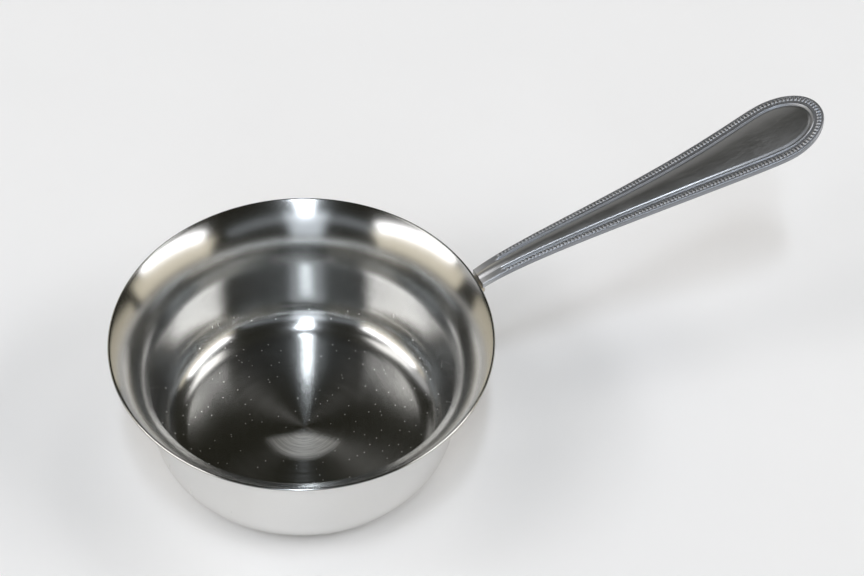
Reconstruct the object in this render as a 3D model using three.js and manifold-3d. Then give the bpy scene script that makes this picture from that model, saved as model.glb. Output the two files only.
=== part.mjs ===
// Small stainless cocotte dish: a spun bowl that flares to its lip and one stamped handle welded to the lip.
// Millimetres, +Z up. The origin is the centre of the bowl's base, and the handle runs along +X.
import * as THREE from "three";
import { mergeGeometries, mergeVertices } from "three/addons/utils/BufferGeometryUtils.js";
import Module from "manifold-3d";

const wasm = await Module();
wasm.setup();

const { degToRad, lerp, smoothstep } = THREE.MathUtils;

// Bowl sizes
const lipRadius = 51;
const bowlHeight = 38.7;
const sheetThickness = 0.9;
const wallLean = degToRad(2);
const cornerRadius = 8.6;
const flareRadius = 21.5;
const lipSlope = degToRad(33.5);

// Handle sizes: lengths run along X, and rises are heights of the handle's top edge over the lip.
// leastShare keeps the rounded edge and the panel inside a narrow slice, as at the tip.
const seamGap = 0.3;
const handleLength = 102.7;
const handleThickness = 1.84;
const rootRise = 0.8;
const tipRise = 26;
const rootAngle = degToRad(26.5);
const tipAngle = degToRad(19.7);
const rootHalfWidth = 3.13;
const rootSplay = degToRad(2.5);
const endHalfWidth = 10.5;
const endLength = 13.4;
const edgeRound = 0.45;
const crownHeight = 0.6;
const leastShare = 0.3;

// How far each curve's control points reach, as a share of the stretch that the curve spans
const rootReach = 0.18;
const tipReach = 0.435;
const shankReach = 0.74;
const shoulderReach = 0.09;
const endFullness = 0.53;
const tipFullness = 0.61;

// Border of the handle: a row of beads and a raised thread inside it, narrower at the neck
const threadStart = 5.8;
const beadStart = 7.4;
const broadFrom = 0.65;
const beadPitch = 1.035;
const beadDiameter = 0.96;
const beadSink = 0.05;
const neckBeadInset = 0.72;
const endBeadInset = 1.32;
const threadWidth = 0.56;
const neckThreadInset = 1.5;
const endThreadInset = 2.95;
const panelMargin = 0.45;

// Weld bead under the seam
const weldRadius = 1.2;
const weldSetback = 0.4;

// Facet counts
const turnSegments = 64;
const arcSegments = 5;
const shankStations = 26;
const endStations = 14;
const borderSamples = 400;
const threadSteps = 84;
const beadSides = 6;
const barSides = 6;
const weldSteps = 8;
const heightSteps = 40;

const rootX = lipRadius + seamGap;
const tipX = rootX + handleLength;

// Points of a circular arc in a flat profile, in the order that it is drawn
function arcPoints(centreX, centreY, radius, fromAngle, toAngle) {
  const clockwise = toAngle < fromAngle;
  const arc = new THREE.EllipseCurve(centreX, centreY, radius, radius, fromAngle, toAngle, clockwise);
  return arc.getPoints(arcSegments);
}

// A closed body skinned over rings of equal point count, with a fan over each end
function loft(rings) {
  const size = rings[0].length;
  const positions = [];
  const triangles = [];
  rings.flat().forEach((point) => positions.push(point.x, point.y, point.z));
  for (let ring = 0; ring + 1 < rings.length; ring += 1) {
    for (let step = 0; step < size; step += 1) {
      const a = ring * size + step;
      const b = ring * size + ((step + 1) % size);
      triangles.push(a, b, b + size, a, b + size, a + size);
    }
  }
  const capEnd = (ring, reversed) => {
    const centre = new THREE.Vector3();
    rings[ring].forEach((point) => centre.addScaledVector(point, 1 / size));
    const hub = positions.length / 3;
    positions.push(centre.x, centre.y, centre.z);
    for (let step = 0; step < size; step += 1) {
      const a = ring * size + step;
      const b = ring * size + ((step + 1) % size);
      triangles.push(hub, reversed ? b : a, reversed ? a : b);
    }
  };
  capEnd(0, true);
  capEnd(rings.length - 1, false);
  const geometry = new THREE.BufferGeometry();
  geometry.setAttribute("position", new THREE.Float32BufferAttribute(positions, 3));
  geometry.setIndex(triangles);
  return geometry;
}

// A round bar of the given diameter along a curve
function roundBar(path, diameter, steps) {
  const section = new THREE.Shape().absarc(0, 0, diameter / 2, 0, 2 * Math.PI);
  return new THREE.ExtrudeGeometry(section, { steps, curveSegments: barSides / 2, extrudePath: path });
}

// The boolean solid of a closed geometry, with its shared corners merged
function solidOf(geometry) {
  const bare = geometry.clone();
  bare.deleteAttribute("normal");
  bare.deleteAttribute("uv");
  const merged = mergeVertices(bare);
  return new wasm.Manifold(new wasm.Mesh({
    numProp: 3,
    vertProperties: new Float32Array(merged.attributes.position.array),
    triVerts: new Uint32Array(merged.index.array),
  }));
}

function geometryOf(solid) {
  const mesh = solid.getMesh();
  const geometry = new THREE.BufferGeometry();
  geometry.setAttribute("position", new THREE.BufferAttribute(mesh.vertProperties, 3));
  geometry.setIndex(new THREE.BufferAttribute(mesh.triVerts, 1));
  geometry.computeVertexNormals();
  return geometry;
}

// Bowl: one sheet turned about Z, with a flat floor, a round corner, a nearly upright wall and a wide flare
function bowlGeometry() {
  const edgeRadius = sheetThickness / 2;
  const edge = new THREE.Vector2(lipRadius - edgeRadius, bowlHeight - edgeRadius);
  const flareMiddle = flareRadius - edgeRadius;
  const flareX = edge.x + flareMiddle * Math.sin(lipSlope);
  const flareY = edge.y - flareMiddle * Math.cos(lipSlope);
  const wallTopX = flareX - flareRadius * Math.cos(wallLean);
  const wallTopY = flareY + flareRadius * Math.sin(wallLean);
  const cornerY = sheetThickness + cornerRadius;
  const wallBottomY = cornerY - cornerRadius * Math.sin(wallLean);
  const wallBottomX = wallTopX - (wallTopY - wallBottomY) * Math.tan(wallLean);
  const floorRadius = wallBottomX - cornerRadius * Math.cos(wallLean);
  const down = -Math.PI / 2;
  const wallFacing = Math.PI - wallLean;
  const lipFacing = Math.PI / 2 + lipSlope;
  const profile = [
    new THREE.Vector2(0, 0),
    ...arcPoints(floorRadius, cornerY, cornerRadius + sheetThickness, down, -wallLean),
    ...arcPoints(flareX, flareY, flareRadius - sheetThickness, wallFacing, lipFacing),
    ...arcPoints(edge.x, edge.y, edgeRadius, lipFacing - Math.PI, lipFacing).slice(1, -1),
    ...arcPoints(flareX, flareY, flareRadius, lipFacing, wallFacing),
    ...arcPoints(floorRadius, cornerY, cornerRadius, -wallLean, down),
    new THREE.Vector2(0, sheetThickness),
  ];
  return new THREE.LatheGeometry(profile, turnSegments).rotateX(Math.PI / 2);
}

// Half of the handle's outline seen from above, from the root's corner round to the tip
function planOutline() {
  const root = new THREE.Vector2(rootX, rootHalfWidth);
  const widest = new THREE.Vector2(tipX - endLength, endHalfWidth);
  const tip = new THREE.Vector2(tipX, 0);
  const flankLength = widest.x - root.x;
  const splay = new THREE.Vector2(Math.cos(rootSplay), Math.sin(rootSplay));
  const shankControl = root.clone().addScaledVector(splay, shankReach * flankLength);
  const shoulderControl = new THREE.Vector2(widest.x - shoulderReach * flankLength, widest.y);
  const endControl = new THREE.Vector2(widest.x + endFullness * endLength, widest.y);
  const tipControl = new THREE.Vector2(tip.x, tipFullness * endHalfWidth);
  const flank = new THREE.CubicBezierCurve(root, shankControl, shoulderControl, widest);
  const end = new THREE.CubicBezierCurve(widest, endControl, tipControl, tip);
  return { flank, end };
}

// Side view of the handle's top edge: it leaves the lip steeply, eases and lifts again to the tip
function topEdgeCurve() {
  const root = new THREE.Vector2(rootX, bowlHeight + rootRise);
  const tip = new THREE.Vector2(tipX, bowlHeight + tipRise);
  const rootControl = new THREE.Vector2(Math.cos(rootAngle), Math.sin(rootAngle));
  const tipControl = new THREE.Vector2(Math.cos(tipAngle), Math.sin(tipAngle));
  rootControl.multiplyScalar(rootReach * handleLength).add(root);
  tipControl.multiplyScalar(-tipReach * handleLength).add(tip);
  return new THREE.CubicBezierCurve(root, rootControl, tipControl, tip);
}

const topEdge = topEdgeCurve();
const outline = planOutline();

// Height of the top edge at a distance along X, found by halving the curve's parameter
function topHeight(x) {
  let low = 0;
  let high = 1;
  for (let step = 0; step < heightSteps; step += 1) {
    const middle = (low + high) / 2;
    if (topEdge.getPoint(middle).x < x) low = middle;
    else high = middle;
  }
  return topEdge.getPoint(low).y;
}

// Distance of a border line from the outline, growing from the neck to the broad end
function borderInset(share, neckInset, endInset) {
  return lerp(neckInset, endInset, smoothstep(share, 0, broadFrom));
}

// A line of the border on the handle's top, from the neck round the tip and back along the other side
function borderLine(start, neckInset, endInset) {
  const path = new THREE.CurvePath();
  path.add(outline.flank);
  path.add(outline.end);
  const length = path.getLength();
  const half = [];
  for (let sample = 0; sample <= borderSamples; sample += 1) {
    const share = lerp(start / length, 1, sample / borderSamples);
    const point = path.getPointAt(share);
    const along = path.getTangentAt(share);
    const inset = borderInset(share, neckInset, endInset);
    const x = point.x + along.y * inset;
    const y = point.y - along.x * inset;
    half.push(new THREE.Vector3(x, y, topHeight(x)));
  }
  half[borderSamples].y = 0;
  const other = half.slice(0, -1).reverse().map((point) => new THREE.Vector3(point.x, -point.y, point.z));
  return new THREE.CatmullRomCurve3([...half, ...other]);
}

// One slice across the handle: flat back, rounded edges, flat border and a crowned panel
function handleSection(point, share) {
  const half = point.y;
  const top = topHeight(point.x);
  const back = top - handleThickness;
  const round = Math.min(edgeRound, leastShare * half, leastShare * handleThickness);
  const border = borderInset(share, neckThreadInset, endThreadInset) + panelMargin;
  const panel = Math.max(half - border, leastShare * half);
  const crown = crownHeight * Math.min(1, half / endHalfWidth);
  const crownAt = (part) => top + crown * (1 - part * part);
  const halfRing = [
    [panel / 2, crownAt(1 / 2)],
    [panel, crownAt(1)],
    [half - round, top],
    [half, top - round],
    [half, back + round],
    [half - round, back],
  ];
  const left = halfRing.map(([y, z]) => new THREE.Vector3(point.x, -y, z));
  const right = halfRing.map(([y, z]) => new THREE.Vector3(point.x, y, z)).reverse();
  return [new THREE.Vector3(point.x, 0, crownAt(0)), ...left, ...right];
}

function handleBody() {
  const flankPoints = outline.flank.getSpacedPoints(shankStations);
  const endPoints = outline.end.getPoints(endStations).slice(1, -1);
  const flankLength = outline.flank.getLength();
  const flankShare = flankLength / (flankLength + outline.end.getLength());
  const rings = [...flankPoints, ...endPoints].map((point, index) => {
    return handleSection(point, Math.min(1, (index / shankStations) * flankShare));
  });
  return loft(rings);
}

// Beads at an even pitch along their line, half sunk in the border
function beadRow() {
  const line = borderLine(beadStart, neckBeadInset, endBeadInset);
  line.arcLengthDivisions = 4 * borderSamples;
  const count = Math.floor(line.getLength() / beadPitch);
  const beads = line.getSpacedPoints(count).map((point) => {
    const bead = new THREE.SphereGeometry(beadDiameter / 2, beadSides, 2).rotateX(Math.PI / 2);
    return bead.translate(point.x, point.y, point.z - beadSink);
  });
  return mergeGeometries(beads);
}

// Handle: the bent blank with its thread and beads raised on the top
function handleGeometry() {
  const threadLine = borderLine(threadStart, neckThreadInset, endThreadInset);
  const thread = roundBar(threadLine, threadWidth, threadSteps);
  return geometryOf(solidOf(handleBody()).add(solidOf(thread)).add(solidOf(beadRow())));
}

// Weld bead: a short round bar that follows the lip under the seam, clear of both undersides
function weldGeometry() {
  const seamRadius = lipRadius + seamGap / 2;
  const underside = bowlHeight + Math.min(rootRise - handleThickness, -sheetThickness);
  const height = underside - seamGap - weldRadius;
  const halfTurn = Math.asin((rootHalfWidth - weldSetback) / seamRadius);
  const points = [];
  for (let step = 0; step <= weldSteps; step += 1) {
    const turn = lerp(-halfTurn, halfTurn, step / weldSteps);
    points.push(new THREE.Vector3(seamRadius * Math.cos(turn), seamRadius * Math.sin(turn), height));
  }
  return roundBar(new THREE.CatmullRomCurve3(points), 2 * weldRadius, weldSteps);
}

function namedMesh(name, geometry, color, roughness) {
  const material = new THREE.MeshStandardMaterial({ color, roughness, metalness: 1 });
  const mesh = new THREE.Mesh(geometry, material);
  mesh.name = name;
  return mesh;
}

const group = new THREE.Group();
group.add(namedMesh("bowl", bowlGeometry(), 0xc9c7c0, 0.22));
group.add(namedMesh("handle", handleGeometry(), 0xb4b4b2, 0.28));
group.add(namedMesh("weld_bead", weldGeometry(), 0xa09d98, 0.45));

export default group;
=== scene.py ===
"""Looks of a small stainless cocotte dish: a spun bowl, a stamped handle with beads, and their weld."""

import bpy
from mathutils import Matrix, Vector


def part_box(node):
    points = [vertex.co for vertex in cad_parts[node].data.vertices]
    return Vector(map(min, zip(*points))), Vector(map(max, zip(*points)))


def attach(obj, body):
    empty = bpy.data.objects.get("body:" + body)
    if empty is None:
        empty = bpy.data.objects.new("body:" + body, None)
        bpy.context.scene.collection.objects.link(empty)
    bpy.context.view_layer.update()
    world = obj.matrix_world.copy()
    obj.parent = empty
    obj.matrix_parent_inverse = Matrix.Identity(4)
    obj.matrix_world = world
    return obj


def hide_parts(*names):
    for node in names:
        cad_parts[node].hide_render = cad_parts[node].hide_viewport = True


bl_info = {
    "name": "Cocotte dish",
    "version": (1, 0, 0),
    "blender": (4, 5, 0),
    "location": "View3D > Sidebar > Dish",
    "description": "Dresses the packed cocotte dish in spun, stamped and welded steel on a pale floor",
    "category": "Object",
}

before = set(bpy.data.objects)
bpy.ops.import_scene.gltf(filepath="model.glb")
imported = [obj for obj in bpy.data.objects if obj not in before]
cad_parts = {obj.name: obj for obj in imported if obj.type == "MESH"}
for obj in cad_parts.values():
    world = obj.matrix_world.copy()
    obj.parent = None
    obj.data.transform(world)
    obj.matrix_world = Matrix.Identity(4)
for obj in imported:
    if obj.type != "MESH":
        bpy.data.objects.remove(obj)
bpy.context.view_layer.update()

from collections import namedtuple
from math import asin, cos, pi, radians, sin

import bmesh
import bpy
import numpy as np
from mathutils import Matrix, Vector

BODY = "root"
MM = 0.001
MERGE_DISTANCE = 1e-8
SENSOR_WIDTH = 36
BOWL_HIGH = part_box("bowl")[1]
HANDLE_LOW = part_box("handle")[0]
WELD_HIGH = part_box("weld_bead")[1]

# Points round the bowl and round the floor, and the angle past which the handle's edges are sharp.
BOWL_SEGMENTS = 256
FLOOR_SEGMENTS = 96
SHARP_ANGLE = radians(50)

# Rows of points across half of the handle: on the panel, on the border, round each edge and on the back.
PANEL_ROWS = 15
BORDER_ROWS = 34
EDGE_ROWS = 5
BACK_ROWS = 7

# The handle points to the right in the picture and turns away from the camera by this angle.
PICTURE_TURN = radians(26)
TO_THE_RIGHT = Vector((cos(PICTURE_TURN), -sin(PICTURE_TURN), 0))
STRAIGHT_AWAY = Vector((sin(PICTURE_TURN), cos(PICTURE_TURN), 0))
STRAIGHT_UP = Vector((0, 0, 1))


# Properties


def length(name, description, default):
    return bpy.props.FloatProperty(
        name=name, description=description, default=default, unit="LENGTH", precision=5
    )


def angle(name, description, degrees):
    return bpy.props.FloatProperty(
        name=name, description=description, default=radians(degrees), subtype="ANGLE"
    )


def share(name, description, default):
    return bpy.props.FloatProperty(
        name=name, description=description, default=default, min=0, max=1, subtype="FACTOR"
    )


def number(name, description, default):
    return bpy.props.FloatProperty(name=name, description=description, default=default)


def colour(name, description, default):
    return bpy.props.FloatVectorProperty(
        name=name, description=description, default=default, size=3, min=0, max=1, subtype="COLOR"
    )


class BowlSettings(bpy.types.PropertyGroup):
    """Sizes and finish of the spun bowl"""

    lip_radius: length("Lip radius", "From the bowl's axis to the outer edge of the lip", BOWL_HIGH.x)
    height: length("Height", "From the base to the top of the lip", BOWL_HIGH.z)
    sheet: length("Sheet", "Thickness of the steel sheet", 0.9 * MM)
    wall_lean: angle("Wall lean", "How far the wall leans out from upright", 2)
    corner_radius: length("Corner radius", "Inner radius between the floor and the wall", 8.6 * MM)
    flare_radius: length("Flare radius", "Inner radius of the wall's bend out to the lip", 21.5 * MM)
    lip_slope: angle("Lip slope", "Lean of the sheet's normal from upright at the lip's edge", 33.5)
    inner_steel: colour("Inner steel", "Colour of the polished steel inside", (0.44, 0.44, 0.43))
    outer_steel: colour("Outer steel", "Colour of the brighter steel outside", (0.72, 0.715, 0.70))
    # This colour serves both the real worn specks and the painted highlight on the hub's near half.
    worn_and_highlight_steel: colour("Worn steel", "Colour of the worn specks and of the scoured hub", (0.9, 0.89, 0.86))
    polish: share("Polish", "Roughness of the polished steel", 0.18)
    stretch: share("Stretch", "How much the polish blurs across the spun rings", 0.85)
    ring_satin: share("Ring satin", "Roughness of the spun rings on the floor", 0.45)
    ring_share: share("Ring share", "Share of the light that the floor's rings scatter", 0.05)
    hub_radius: length("Hub radius", "Radius of the hub, the disc that held the blank", 12.2 * MM)
    # Hub satin and hub share set the rougher lobe of the hub's painted highlight, on its half that is nearer
    # in the picture.
    hub_satin: share("Hub satin", "Roughness of the scoured side of the hub", 0.45)
    hub_share: share("Hub share", "Share of the light that the scoured side of the hub scatters", 1.0)


class HandleSettings(bpy.types.PropertyGroup):
    """Sizes and finish of the stamped handle"""

    length: length("Length", "From the root to the tip, seen from above", 102.7 * MM)
    thickness: length("Thickness", "Thickness of the blank", 1.84 * MM)
    root_rise: length("Root rise", "Height of the top edge over the lip at the root", 0.8 * MM)
    tip_rise: length("Tip rise", "Height of the top edge over the lip at the tip", 26 * MM)
    root_angle: angle("Root angle", "Slope of the top edge at the root", 26.5)
    tip_angle: angle("Tip angle", "Slope of the top edge at the tip", 19.7)
    root_reach: share("Root reach", "Reach of the root's slope, as a share of the length", 0.18)
    tip_reach: share("Tip reach", "Reach of the tip's slope, as a share of the length", 0.435)
    root_half_width: length("Root half width", "Half of the handle's width at the root", 3.13 * MM)
    root_splay: angle("Root splay", "Angle between the flank and the middle line at the root", 2.5)
    end_half_width: length("End half width", "Half of the handle's greatest width", 10.5 * MM)
    end_length: length("End length", "From the widest place to the tip", 13.4 * MM)
    shank_reach: share("Shank reach", "Reach of the root's splay, as a share of the flank", 0.74)
    shoulder_reach: share("Shoulder reach", "Reach of the widest place, as a share of the flank", 0.09)
    end_fullness: share("End fullness", "How square the end's corners are, along the handle", 0.53)
    tip_fullness: share("Tip fullness", "How blunt the tip is, across the handle", 0.61)
    edge_round: length("Edge round", "Radius of the handle's upper and lower edges", 0.45 * MM)
    crown: length("Crown", "Height of the panel's middle over its border at the widest place", 0.6 * MM)
    steel: colour("Steel", "Colour of the handle's steel", (0.5, 0.505, 0.515))
    roughness: share("Roughness", "Roughness of the stamped surface", 0.3)
    border_steel: colour("Border steel", "Colour of the border's duller steel", (0.31, 0.32, 0.34))
    border_satin: share("Border satin", "Roughness of the border", 0.42)


class BorderSettings(bpy.types.PropertyGroup):
    """Sizes of the handle's beaded border, each inset measured from the edge"""

    thread_start: length("Thread start", "Where the thread starts, along the edge from the root", 5.8 * MM)
    bead_start: length("Bead start", "Where the beads start, along the edge from the root", 7.4 * MM)
    broad_from: share("Broad from", "Share of the edge at which the border has its full width", 0.65)
    bead_pitch: length("Bead pitch", "From one bead to the next", 1.035 * MM)
    bead_height: length("Bead height", "Height of a bead over the channel's floor", 0.42 * MM)
    neck_bead_inset: length("Neck bead inset", "Inset of the bead row at the neck", 0.72 * MM)
    end_bead_inset: length("End bead inset", "Inset of the bead row at the broad end", 1.32 * MM)
    neck_bead_half: length("Neck bead half", "Half of a bead's size across the border at the neck", 0.42 * MM)
    end_bead_half: length("End bead half", "Half of a bead's size across the border at the end", 0.6 * MM)
    channel_depth: length("Channel depth", "Depth of the channel that holds the beads", 0.2 * MM)
    thread_width: length("Thread width", "Width of the raised thread", 0.56 * MM)
    thread_height: length("Thread height", "Height of the raised thread", 0.26 * MM)
    neck_thread_inset: length("Neck thread inset", "Inset of the thread at the neck", 1.5 * MM)
    end_thread_inset: length("End thread inset", "Inset of the thread at the broad end", 2.95 * MM)
    groove_depth: length("Groove depth", "Depth of the groove between the thread and the panel", 0.16 * MM)
    panel_margin: length("Panel margin", "From the thread's middle to the panel", 0.6 * MM)


class WeldSettings(bpy.types.PropertyGroup):
    """Sizes and finish of the weld under the seam"""

    radius: length("Radius", "Radius of the weld's section", 1.45 * MM)
    half_length: length("Half length", "Half of the weld's length along the lip", 3.0 * MM)
    ripples: bpy.props.IntProperty(name="Ripples", description="Ripples along the weld", default=9, min=1)
    ripple_height: share("Ripple height", "Height of a ripple, as a share of the radius", 0.07)
    steel: colour("Steel", "Colour of the weld metal", (0.52, 0.50, 0.47))
    roughness: share("Roughness", "Roughness of the weld metal", 0.42)


class StageSettings(bpy.types.PropertyGroup):
    """Floor, lights and camera"""

    floor_colour: colour("Floor colour", "Colour of the pale floor and its rising edge", (0.9, 0.895, 0.895))
    floor_radius: length("Floor radius", "Radius of the flat part of the floor", 1.5)
    cove_radius: length("Cove radius", "Radius of the curve from the floor to the wall", 0.25)
    wall_height: length("Wall height", "Height of the low wall round the floor", 0.32)
    room: colour("Room", "Colour of the dark room over the floor", (0.024, 0.023, 0.015))
    camera_elevation: angle("Camera elevation", "How steeply the camera looks down", 47.755)
    camera_roll: angle("Camera roll", "How far the camera is turned about its view", 1.897)
    camera_right: length("Camera right", "Camera's place to the right of the bowl's axis", 33.8 * MM)
    camera_back: length("Camera back", "Camera's distance in front of the bowl's axis", 414.6 * MM)
    camera_over_lip: length("Camera over lip", "Camera's height over the lip's edge", 477.4 * MM)
    lens: number("Lens", "Focal length in millimetres on a 36 mm sensor", 100)


# Shader graphs


class Wire:
    """A socket whose arithmetic adds Math nodes to its graph"""

    def __init__(self, graph, socket):
        self.graph = graph
        self.socket = socket

    def also(self, output):
        """Another output of the node that this wire comes from"""
        return Wire(self.graph, self.socket.node.outputs[output])

    def math(self, operation, *values):
        return self.graph.math(operation, self, *values)

    def __add__(self, other):
        return self.math("ADD", other)

    def __radd__(self, other):
        return self.math("ADD", other)

    def __sub__(self, other):
        return self.math("SUBTRACT", other)

    def __rsub__(self, other):
        return self.graph.math("SUBTRACT", other, self)

    def __mul__(self, other):
        return self.math("MULTIPLY", other)

    def __rmul__(self, other):
        return self.math("MULTIPLY", other)

    def __truediv__(self, other):
        return self.math("DIVIDE", other)

    def __rtruediv__(self, other):
        return self.graph.math("DIVIDE", other, self)

    def __abs__(self):
        return self.math("ABSOLUTE")


class Graph:
    """A node tree that is built from Python expressions"""

    def __init__(self, tree):
        self.tree = tree
        self.tree.nodes.clear()

    def node(self, kind, settings=None, sockets=None, output=0):
        """Adds a node, sets its settings and then its sockets, and returns one of its outputs"""
        made = self.tree.nodes.new(kind)
        for name, value in (settings or {}).items():
            setattr(made, name, value)
        for name, value in (sockets or {}).items():
            if isinstance(value, Wire):
                self.tree.links.new(value.socket, made.inputs[name])
            else:
                made.inputs[name].default_value = value
        return Wire(self, made.outputs[output]) if made.outputs else None

    def math(self, operation, *values):
        return self.node("ShaderNodeMath", {"operation": operation}, dict(enumerate(values)))

    def vector(self, x, y, z):
        return self.node("ShaderNodeCombineXYZ", {}, {"X": x, "Y": y, "Z": z})

    def dot(self, wire, axis):
        settings = {"operation": "DOT_PRODUCT"}
        return self.node("ShaderNodeVectorMath", settings, {0: wire, 1: tuple(axis)}, "Value")

    def scale(self, vector, factor):
        """A vector or a colour times a number"""
        return self.node("ShaderNodeVectorMath", {"operation": "SCALE"}, {0: vector, "Scale": factor})

    def ease(self, value, gone, full):
        """Nothing at gone, one at full and a smooth change between them. Full may be the lower of the two"""
        sockets = {"Value": value, "From Min": gone, "From Max": full}
        return self.node("ShaderNodeMapRange", {"interpolation_type": "SMOOTHSTEP"}, sockets)

    def blend(self, factor, first, second):
        """A colour between two colours"""
        sockets = {"Factor": factor, 6: as_colour(first), 7: as_colour(second)}
        return self.node("ShaderNodeMix", {"data_type": "RGBA"}, sockets, 2)

    def millimetres(self):
        """The piece's own coordinates in millimetres"""
        place = self.node("ShaderNodeTexCoord", output="Object")
        return self.scale(place, 1 / MM)

    def noise(self, place, scale, detail=2.0, roughness=0.5):
        sockets = {"Vector": place, "Scale": scale, "Detail": detail, "Roughness": roughness}
        return self.node("ShaderNodeTexNoise", {}, sockets)

    def bump(self, height, depth):
        """A normal from a height that runs from 0 to 1 and stands for the depth, in metres"""
        return self.node("ShaderNodeBump", {}, {"Height": height, "Distance": depth, "Strength": 1.0})

    def principled(self, sockets):
        surface = self.node("ShaderNodeBsdfPrincipled", {}, sockets)
        self.node("ShaderNodeOutputMaterial", {}, {"Surface": surface})


def as_colour(value):
    return value if isinstance(value, Wire) else (*value, 1.0)


def material_graph(name):
    material = bpy.data.materials.new(name)
    material.use_nodes = True
    return material, Graph(material.node_tree)


def scratches(graph, place, turn, per_mm, thinness):
    """Long thin lines where a noise stretched in one direction passes its middle value"""
    lengthwise_per_mm = per_mm * 0.04
    stretch = {"Vector": place, "Rotation": (0, 0, turn), "Scale": (lengthwise_per_mm, per_mm, per_mm)}
    grain = graph.noise(graph.node("ShaderNodeMapping", {}, stretch), 1.0, 1.0)
    return (1 - abs(grain - 0.5) * thinness).math("MAXIMUM", 0.0)


# A point on the bowl in millimetres: its vector, its coordinates and its distance from the axis.
BowlPoint = namedtuple("BowlPoint", "vector x y z across")

# Patterns of the spun steel, in repeats to a millimetre, and the depth of its rings.
RINGS_PER_MM = 2.4
WAVES_PER_MM = 0.35
LINES_PER_MM = 5.0
SMEARS_PER_MM = 0.045
SPECKS_PER_MM = 0.42
PATCHES_PER_MM = 0.09
RING_DEPTH = 0.0006 * MM

# Heights in millimetres at which the floor's specks and rings are gone and are full.
SPECK_HEIGHTS = (14.0, 6.0)
RING_HEIGHTS = (8.0, 1.2)

# A quarter turn of the stretched highlight, so that it blurs across the rings.
QUARTER_TURN = 0.25


def bowl_point(graph):
    vector = graph.millimetres()
    x = graph.node("ShaderNodeSeparateXYZ", {}, {0: vector}, "X")
    y = x.also("Y")
    never_zero = 0.01
    across = (x * x + y * y + never_zero).math("SQRT")
    return BowlPoint(vector, x, y, x.also("Z"), across)


def ring_noise(graph, point, per_mm, round_the_axis, detail):
    """A noise in rings: fast along the section and slow round the axis"""
    along = (point.across + point.z) * per_mm
    round_x = point.x / point.across * round_the_axis
    round_y = point.y / point.across * round_the_axis
    return graph.noise(graph.vector(along, round_x, round_y), 1.0, detail)


def wear_specks(graph, point):
    """Small worn specks on the floor and the foot of the wall: the middles of some cells of a Voronoi
    pattern, more of them in some patches than in others"""
    sockets = {"Vector": point.vector, "Scale": SPECKS_PER_MM}
    from_middle = graph.node("ShaderNodeTexVoronoi", {"voronoi_dimensions": "2D"}, sockets, "Distance")
    draw = graph.node("ShaderNodeSeparateXYZ", {}, {0: from_middle.also("Color")}, "X")
    patches = graph.noise(point.vector, PATCHES_PER_MM, 2.0)
    chosen = graph.ease(draw + patches * 0.6, 1.06, 1.1)
    return graph.ease(from_middle, 0.055, 0.025) * chosen * graph.ease(point.z, *SPECK_HEIGHTS)


def hub_painted_highlight(graph, point, hub_radius):
    """A mask for the hub's painted highlight, on the half that is nearer in the picture: strongest along its
    middle line, starting at the hub's centre and ending softly at its radius"""
    aside = abs(graph.dot(point.vector, TO_THE_RIGHT))
    fan = graph.dot(point.vector, -STRAIGHT_AWAY) - aside * 0.25
    middle = graph.ease(aside, hub_radius * 1.2, 0.0) * 0.6 + 0.4
    scoured = graph.ease(fan, 0.4, 3.5) * middle
    return graph.ease(point.across, hub_radius * 1.06, hub_radius * 0.8) * scoured


def spun_steel(settings):
    """Polished steel with small specks of wear on the floor. Fine rings from spinning scatter some light on
    the floor, and the hub's half that is nearer in the picture gets a painted highlight: a lighter colour
    with a rougher lobe"""
    material, graph = material_graph("spun_steel")
    point = bowl_point(graph)
    rings = ring_noise(graph, point, RINGS_PER_MM, 1.5, 4.0)
    waves = ring_noise(graph, point, WAVES_PER_MM, 0.8, 2.0)
    lines = graph.ease(ring_noise(graph, point, LINES_PER_MM, 1.0, 2.0), 0.42, 0.6)
    smears = graph.noise(point.vector, SMEARS_PER_MM, 3.0)
    speck = wear_specks(graph, point)
    # Painted highlight: the hub's near half is blended towards the lighter worn and highlight colour, and it
    # gets a rougher lobe.
    hub = hub_painted_highlight(graph, point, settings.hub_radius / MM)
    outside = graph.node("ShaderNodeAttribute", {"attribute_name": "outside"}, {}, "Fac")
    steel = graph.blend(outside, settings.inner_steel, settings.outer_steel)
    tint = graph.scale(steel, 0.95 + smears * 0.1)

    def lobe(roughness, stretch):
        return graph.node("ShaderNodeBsdfPrincipled", {}, {
            "Base Color": graph.blend(speck.math("MAXIMUM", hub), tint, settings.worn_and_highlight_steel),
            "Metallic": 1.0,
            "Roughness": roughness + (smears - 0.5) * 0.04 + speck * 0.4,
            "Anisotropic": stretch,
            "Anisotropic Rotation": QUARTER_TURN,
            "Normal": graph.bump(rings * 0.7 + waves * 0.6, RING_DEPTH),
        })

    def mix(factor, first, second):
        return graph.node("ShaderNodeMixShader", {}, {0: factor, 1: first, 2: second})

    polish = lobe(settings.polish, settings.stretch)
    on_floor = graph.ease(point.z, *RING_HEIGHTS)
    scattered = on_floor * settings.ring_share * (0.2 + lines * 1.6)
    surface = mix(scattered, polish, lobe(settings.ring_satin, 1.0))
    on_hub = hub * settings.hub_share * (0.7 + lines * 0.3)
    surface = mix(on_hub, surface, lobe(settings.hub_satin, 0.3))
    graph.node("ShaderNodeOutputMaterial", {}, {"Surface": surface})
    return material


# Colours that a user has no need to change, and the depths of the handle's and the weld's grain.
# Painted shade for the handle's recesses: the channel round the beads and the groove are darkened towards
# this colour.
RECESS_SHADE = (0.10, 0.10, 0.10)
STRAW_TINT = (0.50, 0.41, 0.27)
BLUE_TINT = (0.30, 0.33, 0.42)
HANDLE_GRAIN_DEPTH = 0.007 * MM
WELD_GRAIN_DEPTH = 0.02 * MM


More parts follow.
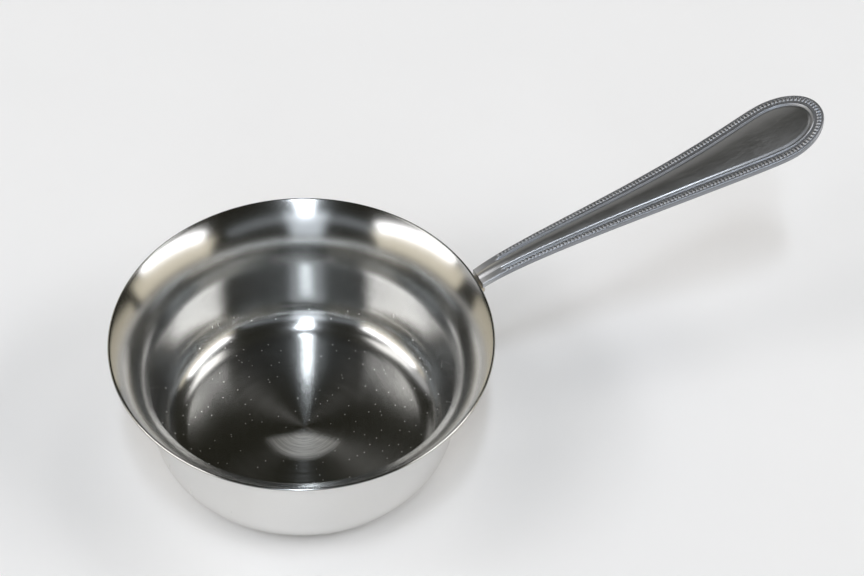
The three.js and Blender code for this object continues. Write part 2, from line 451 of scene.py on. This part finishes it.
def stamped_steel(settings):
    """Polished steel with fine handling scratches and soft smears, a duller border and painted shade in its
    recesses"""
    material, graph = material_graph("stamped_steel")
    place = graph.millimetres()
    recess = graph.node("ShaderNodeAttribute", {"attribute_name": "recess"}, {}, "Fac")
    border = graph.node("ShaderNodeAttribute", {"attribute_name": "border"}, {}, "Fac")
    smears = graph.noise(place, 0.12, 3.0)
    grain = graph.noise(place, 2.2, 3.0, 0.7)
    marks = scratches(graph, place, 0.35, 0.9, 22.0) + scratches(graph, place, -0.6, 0.7, 26.0)
    steel = graph.blend(border, settings.steel, settings.border_steel)
    tint = graph.scale(steel, 0.96 + smears * 0.07)
    polish = settings.roughness + border * (settings.border_satin - settings.roughness)
    graph.principled({
        # Painted shade: the recesses are darkened.
        "Base Color": graph.blend(recess * 0.6, tint, RECESS_SHADE),
        "Metallic": 1.0,
        "Roughness": polish + (smears - 0.5) * 0.06 + marks * 0.03 + recess * 0.1,
        "Normal": graph.bump(grain * 0.9 + marks * 0.1, HANDLE_GRAIN_DEPTH),
    })
    return material


def weld_steel(settings):
    """Satin weld metal with a straw and blue heat tint and a fine grain"""
    material, graph = material_graph("weld_steel")
    place = graph.millimetres()
    heat = graph.noise(place, 0.55, 2.0)
    grain = graph.noise(place, 7.0, 3.0)
    straw = graph.blend(graph.ease(heat, 0.42, 0.6), settings.steel, STRAW_TINT)
    graph.principled({
        "Base Color": graph.blend(graph.ease(heat, 0.62, 0.74), straw, BLUE_TINT),
        "Metallic": 1.0,
        "Roughness": settings.roughness + (grain - 0.5) * 0.2,
        "Normal": graph.bump(grain, WELD_GRAIN_DEPTH),
    })
    return material


def pale_floor(settings):
    """Matt pale board with a slight sheen and a barely visible mottle"""
    material, graph = material_graph("pale_floor")
    place = graph.millimetres()
    mottle = graph.noise(place, 0.02, 3.0)
    tint = graph.scale(tuple(settings.floor_colour), 0.985 + mottle * 0.025)
    graph.principled({"Base Color": tint, "Roughness": 0.42 + mottle * 0.1})
    return material


# Shapes


def smoothstep(value, low, high):
    step = np.clip((value - low) / (high - low), 0, 1)
    return step * step * (3 - 2 * step)


def hump(value, centre, half):
    """One at the centre, easing to nothing at half on either side: one less the square, squared"""
    return np.clip(1 - ((value - centre) / half) ** 2, 0, None) ** 2


def bezier(a, b, c, d, step):
    """A cubic curve: four points weighted by the Bernstein polynomials of the step"""
    t = step[:, None]
    a, b, c, d = (np.asarray(point, float) for point in (a, b, c, d))
    return a * (1 - t) ** 3 + 3 * b * t * (1 - t) ** 2 + 3 * c * t ** 2 * (1 - t) + d * t ** 3


def arc(centre, radius, start, stop, count):
    """A circular arc: the centre plus the radius times the turn's cosine and sine"""
    turn = np.linspace(start, stop, count)
    return np.stack((centre[0] + radius * np.cos(turn), centre[1] + radius * np.sin(turn)), axis=1)


def straight(start, stop, count):
    """Evenly spaced points between two points, without the ends"""
    return np.linspace(start, stop, count + 2)[1:-1]


def ring_grid(rings):
    """Quads between neighbouring rings of points, each ring joined to its own start"""
    count, size = rings.shape[:2]
    index = np.arange(count * size).reshape(count, size)
    following = np.roll(index, -1, axis=1)
    quads = np.stack((index[:-1], following[:-1], following[1:], index[1:]), axis=-1)
    return rings.reshape(-1, 3), quads.reshape(-1, 4).tolist()


def make_piece(name, points, faces, material, sharp_angle=None, **attributes):
    """A mesh object at the origin, with doubled points merged, faces outwards and smooth shading"""
    mesh = bpy.data.meshes.new(name)
    mesh.from_pydata(points, [], faces)
    for label, values in attributes.items():
        layer = mesh.attributes.new(label, "FLOAT", "POINT")
        layer.data.foreach_set("value", np.ascontiguousarray(values, dtype=np.float32).ravel())
    work = bmesh.new()
    work.from_mesh(mesh)
    bmesh.ops.remove_doubles(work, verts=work.verts, dist=MERGE_DISTANCE)
    bmesh.ops.recalc_face_normals(work, faces=work.faces)
    work.to_mesh(mesh)
    work.free()
    mesh.shade_smooth()
    if sharp_angle is not None:
        mesh.set_sharp_from_angle(angle=sharp_angle)
    mesh.materials.append(material)
    piece = bpy.data.objects.new(name, mesh)
    bpy.context.scene.collection.objects.link(piece)
    return piece


def turned(profile, segments):
    """A profile of radius and height carried round the upright axis"""
    turn = np.linspace(0, 2 * pi, segments, endpoint=False)
    radius, height = profile[:, :1], profile[:, 1:]
    return np.stack((radius * np.cos(turn), radius * np.sin(turn), height + 0 * turn), axis=-1)


def bowl_profile(size):
    """The sheet's section from the base's middle up the outside, over the lip and down to the floor's middle:
    straight lines for the base, wall and floor, and arcs for the corner, the flare and the rounded edge"""
    edge_radius = size.sheet / 2
    edge = np.array((size.lip_radius - edge_radius, size.height - edge_radius))
    reach = size.flare_radius - edge_radius
    flare = edge + reach * np.array((sin(size.lip_slope), -cos(size.lip_slope)))
    wall_facing = pi - size.wall_lean
    lip_facing = pi / 2 + size.lip_slope
    facing = np.array((cos(wall_facing), sin(wall_facing)))
    wall_top = flare + size.flare_radius * facing
    corner_height = size.sheet + size.corner_radius
    wall_foot_height = corner_height + size.corner_radius * sin(-size.wall_lean)
    wall_foot_radius = wall_top[0] - (wall_top[1] - wall_foot_height) * np.tan(size.wall_lean)
    corner = np.array((wall_foot_radius - size.corner_radius * cos(size.wall_lean), corner_height))
    outer_corner = arc(corner, size.corner_radius + size.sheet, -pi / 2, -size.wall_lean, 28)
    outer_flare = arc(flare, size.flare_radius - size.sheet, wall_facing, lip_facing, 24)
    rim = arc(edge, edge_radius, lip_facing - pi, lip_facing, 14)
    inner_flare = arc(flare, size.flare_radius, lip_facing, wall_facing, 32)
    inner_corner = arc(corner, size.corner_radius, -size.wall_lean, -pi / 2, 36)
    base_middle, floor_middle = (0, 0), (0, size.sheet)
    return np.concatenate((
        [base_middle],
        straight(base_middle, outer_corner[0], 6),
        outer_corner,
        straight(outer_corner[-1], outer_flare[0], 10),
        outer_flare,
        rim[1:-1],
        inner_flare,
        straight(inner_flare[-1], inner_corner[0], 16),
        inner_corner,
        straight(inner_corner[-1], floor_middle, 12),
        [floor_middle],
    ))


def handle_side(size, steps=2000):
    """The top edge seen from the side: a cubic curve from the root's slope at the lip to the tip's slope"""
    root = np.array((HANDLE_LOW.x, BOWL_HIGH.z + size.root_rise))
    tip = np.array((HANDLE_LOW.x + size.length, BOWL_HIGH.z + size.tip_rise))
    from_root = size.root_reach * size.length * np.array((cos(size.root_angle), sin(size.root_angle)))
    to_tip = size.tip_reach * size.length * np.array((cos(size.tip_angle), sin(size.tip_angle)))
    return bezier(root, root + from_root, tip - to_tip, tip, np.linspace(0, 1, steps))


def handle_outline(size, steps=2000):
    """Half of the outline from above: one cubic curve along the flank and one round the end to the tip"""
    root = np.array((HANDLE_LOW.x, size.root_half_width))
    tip = np.array((HANDLE_LOW.x + size.length, 0))
    widest = np.array((tip[0] - size.end_length, size.end_half_width))
    flank = widest[0] - root[0]
    shank = root + size.shank_reach * flank * np.array((cos(size.root_splay), sin(size.root_splay)))
    shoulder = widest - (size.shoulder_reach * flank, 0)
    full_end = widest + (size.end_fullness * size.end_length, 0)
    blunt_tip = np.array((tip[0], size.tip_fullness * size.end_half_width))
    step = np.linspace(0, 1, steps)
    return np.concatenate((bezier(root, shank, shoulder, widest, step),
                           bezier(widest, full_end, blunt_tip, tip, step)[1:]))


def run_along(points):
    """Distance along a row of points"""
    return np.concatenate(([0], np.cumsum(np.linalg.norm(np.diff(points, axis=0), axis=1))))


# One column of the handle's surface for each place along the edge: the edge's point, the direction inwards,
# the distance along the bead row, how far the border has broadened, and the place counted in beads.
Columns = namedtuple("Columns", "edge inward run broad bead_phase")


def handle_columns(size, border, per_bead=6, plain=16):
    """Columns spaced evenly along the bead row, a whole number to each bead, from the root to the tip"""
    outline = handle_outline(size)
    along = np.gradient(outline, axis=0)
    along /= np.linalg.norm(along, axis=1)[:, None]
    inward = np.stack((along[:, 1], -along[:, 0]), axis=1)
    covered = run_along(outline)
    square_root = smoothstep(covered, 0, border.thread_start)[:, None]
    inward = inward * square_root + np.array((0, -1)) * (1 - square_root)
    inward /= np.linalg.norm(inward, axis=1)[:, None]
    broad = smoothstep(covered / covered[-1], 0, border.broad_from)
    inset = border.neck_bead_inset + (border.end_bead_inset - border.neck_bead_inset) * broad
    run = run_along(outline + inward * inset[:, None])
    beads = np.floor(2 * (run[-1] - border.bead_start) / border.bead_pitch)
    pitch = 2 * (run[-1] - border.bead_start) / beads
    before_beads = np.linspace(0, border.bead_start - pitch / 2, plain)[:-1]
    along_beads = np.arange(-per_bead / 2, beads * per_bead / 2 + 1) * pitch / per_bead + border.bead_start
    marks = np.concatenate((before_beads, along_beads))
    marks[-1] = run[-1]

    def at_marks(values):
        return np.interp(marks, run, values)

    edge = np.stack((at_marks(outline[:, 0]), at_marks(outline[:, 1])), axis=1)
    direction = np.stack((at_marks(inward[:, 0]), at_marks(inward[:, 1])), axis=1)
    edge[-1, 1] = 0
    direction[-1] = (-1, 0)
    return Columns(edge, direction, marks, at_marks(broad), (marks - border.bead_start) / pitch)


def border_lines(border, broad):
    """Insets of the border's features at each column, growing from the neck to the broad end"""

    def grown(neck, end):
        return neck + (end - neck) * broad

    bead = grown(border.neck_bead_inset, border.end_bead_inset)
    half = grown(border.neck_bead_half, border.end_bead_half)
    thread = grown(border.neck_thread_inset, border.end_thread_inset)
    return bead, half, thread, thread + border.panel_margin


def border_relief(inset, columns, border):
    """Height of the border over the rim at each inset: a channel, domed beads in it, a thread and a groove.
    Also how deep in a recess each point lies, from 0 to 1"""
    bead, half, thread, panel = border_lines(border, columns.broad)
    beads_on = smoothstep(columns.run, border.bead_start - border.bead_pitch, border.bead_start)
    thread_on = smoothstep(columns.run, border.thread_start, border.thread_start + border.bead_pitch)
    channel_half = 1.25 * half
    thread_half = 0.62 * border.thread_width
    groove_middle = panel - 0.1 * border.panel_margin
    groove_half = 0.45 * border.panel_margin
    channel = beads_on * hump(inset, bead, channel_half)
    nearest = np.round(columns.bead_phase)
    aside = 2 * (columns.bead_phase - nearest) * (nearest >= 0)
    dome = np.sqrt(np.clip(1 - aside ** 2 - ((inset - bead) / half) ** 2, 0, None)) * beads_on
    ridge = thread_on * hump(inset, thread, thread_half)
    groove = thread_on * hump(inset, groove_middle, groove_half)
    height = (border.bead_height * dome - border.channel_depth * channel
              + border.thread_height * ridge - border.groove_depth * groove)
    return height, np.clip(channel - 1.4 * dome, 0, 1) + groove


def handle_surface(size, border):
    """Closed rings round the handle, one for each column, with the recess and border values of each point.
    Across the top, each column runs inwards from the edge over the border, then straight to the middle line,
    rising as a parabola to the crown. The back is flat, and the sides are upright between rounded edges"""
    columns = handle_columns(size, border)
    side = handle_side(size)
    panel = border_lines(border, columns.broad)[3]
    half_width = np.maximum(columns.edge[:, 1], 0)
    inner = columns.edge + columns.inward * panel[:, None]
    # The columns cross to the middle line at right angles, and round the end they gather at its last point.
    gather = 2.5 * MM
    last_middle = HANDLE_LOW.x + size.length - size.end_half_width
    middle_x = last_middle - gather * np.log1p(np.exp((last_middle - inner[:, 0]) / gather))
    middle =np.stack((middle_x, 0 * middle_x), axis=1)
    middle_width = np.interp(middle_x, columns.edge[:, 0], half_width)
    crown = size.crown * np.clip(middle_width / size.end_half_width, 0, 1)

    panel_rows = np.linspace(1, 0, PANEL_ROWS)[:, None]
    panel_plan = inner + (middle - inner) * panel_rows[..., None]
    panel_height = crown * (1 - (1 - panel_rows) ** 2)

    inset_rows = np.linspace(1, 0, BORDER_ROWS)[1:, None]
    inset = size.edge_round + (panel - size.edge_round) * inset_rows
    border_plan = columns.edge + columns.inward * inset[..., None]
    border_height, border_recess = border_relief(inset, columns, border)

    turn = np.linspace(0, pi / 2, EDGE_ROWS)[1:, None] + 0 * panel
    round_inset = size.edge_round * (1 - np.sin(turn))
    round_plan = columns.edge + columns.inward * round_inset[..., None]
    upper_height = size.edge_round * (np.cos(turn) - 1)
    lower_height = -size.thickness - upper_height

    back_rows = np.linspace(0, 1, BACK_ROWS)[:, None]
    back_edge = columns.edge + columns.inward * size.edge_round
    back_plan = back_edge + (middle - back_edge) * back_rows[..., None]
    back_height = -size.thickness + 0 * back_rows * panel

    plan = np.concatenate((panel_plan, border_plan, round_plan, round_plan[::-1], back_plan))
    rise = np.concatenate((panel_height, border_height, upper_height, lower_height[::-1], back_height))
    recess = np.zeros(rise.shape)
    on_border = np.zeros(rise.shape)
    border_rows = slice(len(panel_rows), len(panel_rows) + len(inset))
    outer_rows = slice(border_rows.start, border_rows.stop + 2 * len(turn))
    recess[border_rows] = border_recess
    on_border[outer_rows] = smoothstep(columns.run, 0, border.bead_start)
    panel_edge = len(panel_rows) - 1
    edge_height, edge_recess = border_relief(panel, columns, border)
    recess[panel_edge] = edge_recess
    rise[panel_edge] += edge_height
    level = np.interp(plan[..., 0], side[:, 0], side[:, 1])
    right = np.stack((plan[..., 0], plan[..., 1], level + rise), axis=-1)
    right[0, :, 1] = 0
    right[-1, :, 1] = 0
    left = right[-2:0:-1] * (1, -1, 1)
    rings = np.concatenate((right, left)).transpose(1, 0, 2)

    def both_sides(values):
        return np.concatenate((values, values[-2:0:-1])).T

    return rings, both_sides(recess), both_sides(on_border)


def weld_surface(size):
    """A round bar along the lip's edge under the seam: the section's radius swells over each ripple
    and closes at both ends as a blunt ellipse does. It rises over the plain bead to close the gap above it"""
    seam = (BOWL_HIGH.x + HANDLE_LOW.x) / 2
    rise = 0.35 * MM
    level = WELD_HIGH.z - size.radius + rise
    along = np.linspace(-1, 1, 97)[:, None]
    turn = np.linspace(0, 2 * pi, 40, endpoint=False)
    swell = 1 + size.ripple_height * np.abs(np.sin(along * size.ripples * pi / 2))
    radius = size.radius * np.sqrt(np.clip(1 - np.abs(along) ** 5, 0, None)) * swell
    lip_turn = along * asin(size.half_length / seam)
    out = seam + radius * np.cos(turn)
    return np.stack((out * np.cos(lip_turn), out * np.sin(lip_turn), level + radius * np.sin(turn)), axis=-1)


def floor_profile(size):
    """A flat disc, a quarter circle up from it and a low upright wall"""
    cove = (size.floor_radius, size.cove_radius)
    rise = arc(cove, size.cove_radius, -pi / 2, 0, 16)
    return np.concatenate(([(0, 0)], rise, [(rise[-1][0], size.wall_height)]))


# Lights and camera

# A soft light in the sky: where its middle is, seen from the dish with azimuth 0 straight away from the
# camera and positive to the right, its half sizes and the width of its soft edge, all in degrees, and its
# tint and strength.
SoftLight = namedtuple("SoftLight", "azimuth elevation half_width half_height edge tint strength")

PALE = (0.98, 0.975, 1.0)
CREAM = (1.0, 0.985, 0.97)
BEIGE = (1.0, 0.91, 0.73)
BLUISH = (0.84, 0.91, 1.0)

SOFT_LIGHTS = (
    # A box on either side, brightest along its upper edge
    SoftLight(-109, 42, 20, 5, 4, PALE, 6.8),
    SoftLight(93, 42, 17, 5, 4, PALE, 6.8),
    SoftLight(-109, 25, 27, 12, 5, BEIGE, 1.3),
    SoftLight(95, 25, 25, 12, 5, BEIGE, 1.3),
    # Two smaller boxes high over the dish, and a dim one that lights the handle's root
    SoftLight(-84, 59, 9, 9, 4, CREAM, 2.4),
    SoftLight(50, 60, 12, 6, 4, CREAM, 3.2),
    SoftLight(-70, 44, 7, 12, 5, PALE, 0.9),
    # Low warm walls beyond the dish, and a dim one over them for the far side of the handle's panel
    SoftLight(-48, 14, 18, 14, 4, BEIGE, 0.9),
    SoftLight(45, 11, 18, 12, 4, BEIGE, 0.9),
    SoftLight(-26, 34, 13, 8, 6, CREAM, 0.45),
    # Two lamps over the camera, a tall screen under them, and two windows and a wide glow lower down
    SoftLight(180, 76, 2, 6, 2, BLUISH, 36.0),
    SoftLight(180, 62.6, 1.2, 6, 1, BLUISH, 20.0),
    SoftLight(180, 55, 3, 11, 2, BLUISH, 7.0),
    SoftLight(180, 46, 10, 5, 5, BLUISH, 0.8),
    SoftLight(180, 28, 9, 16, 8, BLUISH, 1.3),
    SoftLight(180, 41, 40, 6, 6, BLUISH, 0.45),
)


def sky_direction(azimuth, elevation):
    turn, lift = radians(azimuth), radians(elevation)
    level = TO_THE_RIGHT * sin(turn) + STRAIGHT_AWAY * cos(turn)
    return level * cos(lift) + STRAIGHT_UP * sin(lift)


def soft_light(graph, direction, light):
    """How much of a soft light is seen in a direction: a rectangle on the plane that faces the dish"""
    middle = sky_direction(light.azimuth, light.elevation)
    top = sky_direction(light.azimuth, light.elevation + 90)
    side = middle.cross(top)
    ahead = graph.dot(direction, middle)
    facing = ahead.math("MAXIMUM", 0.001)

    def within(axis, half):
        offset = abs(graph.dot(direction, axis)) / facing
        outer, inner = np.tan(np.radians((half + light.edge / 2, half - light.edge / 2)))
        return graph.ease(offset, float(outer), float(inner))

    seen = within(side, light.half_width) * within(top, light.half_height)
    return seen * ahead.math("GREATER_THAN", 0.0) * light.strength


def room_light(settings):
    """A dark room with a few large soft lights"""
    world = bpy.data.worlds.new("room")
    bpy.context.scene.world = world
    world.use_nodes = True
    graph = Graph(world.node_tree)
    direction = graph.node("ShaderNodeTexCoord", output="Generated")
    total = tuple(settings.room)
    for light in SOFT_LIGHTS:
        amount = soft_light(graph, direction, light)
        added = graph.scale(light.tint, amount)
        total = graph.node("ShaderNodeVectorMath", {"operation": "ADD"}, {0: total, 1: added})
    background = graph.node("ShaderNodeBackground", {}, {"Color": total, "Strength": 1.0})
    graph.node("ShaderNodeOutputWorld", {}, {"Surface": background})


def picture_camera(settings):
    """A camera in front of the bowl and over it, turned a little about its own view"""
    data = bpy.data.cameras.new("camera")
    data.lens = settings.lens
    data.sensor_width = SENSOR_WIDTH
    data.dof.use_dof = False
    lift, roll = settings.camera_elevation, settings.camera_roll
    back = STRAIGHT_UP * sin(lift) - STRAIGHT_AWAY * cos(lift)
    level_up = STRAIGHT_AWAY * sin(lift) + STRAIGHT_UP * cos(lift)
    right = TO_THE_RIGHT * cos(roll) + level_up * sin(roll)
    up = level_up * cos(roll) - TO_THE_RIGHT * sin(roll)
    lip_middle = bpy.context.scene.dish_bowl.height - bpy.context.scene.dish_bowl.sheet / 2
    place = (TO_THE_RIGHT * settings.camera_right - STRAIGHT_AWAY * settings.camera_back
             + STRAIGHT_UP * (settings.camera_over_lip + lip_middle))
    turned_axes = Matrix((right, up, back)).transposed().to_4x4()
    camera = bpy.data.objects.new("camera", data)
    camera.matrix_world = Matrix.Translation(place) @ turned_axes
    bpy.context.scene.collection.objects.link(camera)
    bpy.context.scene.camera = camera


# Operators and panel


class DISH_OT_stage(bpy.types.Operator):
    """Make the pale floor, the room's soft light and the camera"""

    bl_idname = "dish.make_stage"
    bl_label = "Make stage"

    def execute(self, context):
        settings = context.scene.dish_stage
        picture_camera(settings)
        room_light(settings)
        points, faces = ring_grid(turned(floor_profile(settings), FLOOR_SEGMENTS))
        floor = make_piece("floor", points, faces, pale_floor(settings))
        floor.data.flip_normals()
        context.scene.view_settings.view_transform = "Standard"
        return {"FINISHED"}


class DISH_OT_bowl(bpy.types.Operator):
    """Make the spun bowl"""

    bl_idname = "dish.make_bowl"
    bl_label = "Make bowl"

    def execute(self, context):
        settings = context.scene.dish_bowl
        profile = bowl_profile(settings)
        outside = np.arange(len(profile)) <= profile[:, 0].argmax()
        points, faces = ring_grid(turned(profile, BOWL_SEGMENTS))
        outside = np.repeat(outside, BOWL_SEGMENTS)
        bowl = make_piece("spun_bowl", points, faces, spun_steel(settings), outside=outside)
        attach(bowl, BODY)
        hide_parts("bowl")
        return {"FINISHED"}


class DISH_OT_handle(bpy.types.Operator):
    """Make the stamped handle with its beaded border"""

    bl_idname = "dish.make_handle"
    bl_label = "Make handle"

    def execute(self, context):
        settings = context.scene.dish_handle
        rings, recess, border = handle_surface(settings, context.scene.dish_border)
        points, faces = ring_grid(rings)
        faces.append(list(range(rings.shape[1])))
        steel = stamped_steel(settings)
        values = {"recess": recess, "border": border}
        handle = make_piece("stamped_handle", points, faces, steel, SHARP_ANGLE, **values)
        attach(handle, BODY)
        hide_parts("handle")
        return {"FINISHED"}


class DISH_OT_weld(bpy.types.Operator):
    """Make the rippled weld under the seam"""

    bl_idname = "dish.make_weld"
    bl_label = "Make weld"

    def execute(self, context):
        settings = context.scene.dish_weld
        points, faces = ring_grid(weld_surface(settings))
        weld = make_piece("rippled_weld", points, faces, weld_steel(settings))
        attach(weld, BODY)
        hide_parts("weld_bead")
        return {"FINISHED"}


class DISH_PT_panel(bpy.types.Panel):
    """Settings of the dish and the steps that make it"""

    bl_idname = "DISH_PT_panel"
    bl_label = "Cocotte dish"
    bl_space_type = "VIEW_3D"
    bl_region_type = "UI"
    bl_category = "Dish"

    def draw(self, context):
        for group_name, settings_class, operator in STEPS:
            box = self.layout.box()
            group = getattr(context.scene, group_name)
            for name in settings_class.__annotations__:
                box.prop(group, name)
            if operator is not None:
                box.operator(operator.bl_idname)


STEPS = (
    ("dish_stage", StageSettings, DISH_OT_stage),
    ("dish_bowl", BowlSettings, DISH_OT_bowl),
    ("dish_border", BorderSettings, None),
    ("dish_handle", HandleSettings, DISH_OT_handle),
    ("dish_weld", WeldSettings, DISH_OT_weld),
)


def register():
    for group_name, settings_class, operator in STEPS:
        bpy.utils.register_class(settings_class)
        setattr(bpy.types.Scene, group_name, bpy.props.PointerProperty(type=settings_class))
        if operator is not None:
            bpy.utils.register_class(operator)
    bpy.utils.register_class(DISH_PT_panel)


def unregister():
    bpy.utils.unregister_class(DISH_PT_panel)
    for group_name, settings_class, operator in reversed(STEPS):
        if operator is not None:
            bpy.utils.unregister_class(operator)
        delattr(bpy.types.Scene, group_name)
        bpy.utils.unregister_class(settings_class)


def main():
    register()
    bpy.ops.dish.make_stage()
    bpy.ops.dish.make_bowl()
    bpy.ops.dish.make_handle()
    bpy.ops.dish.make_weld()


if __name__ == "__main__":
    main()
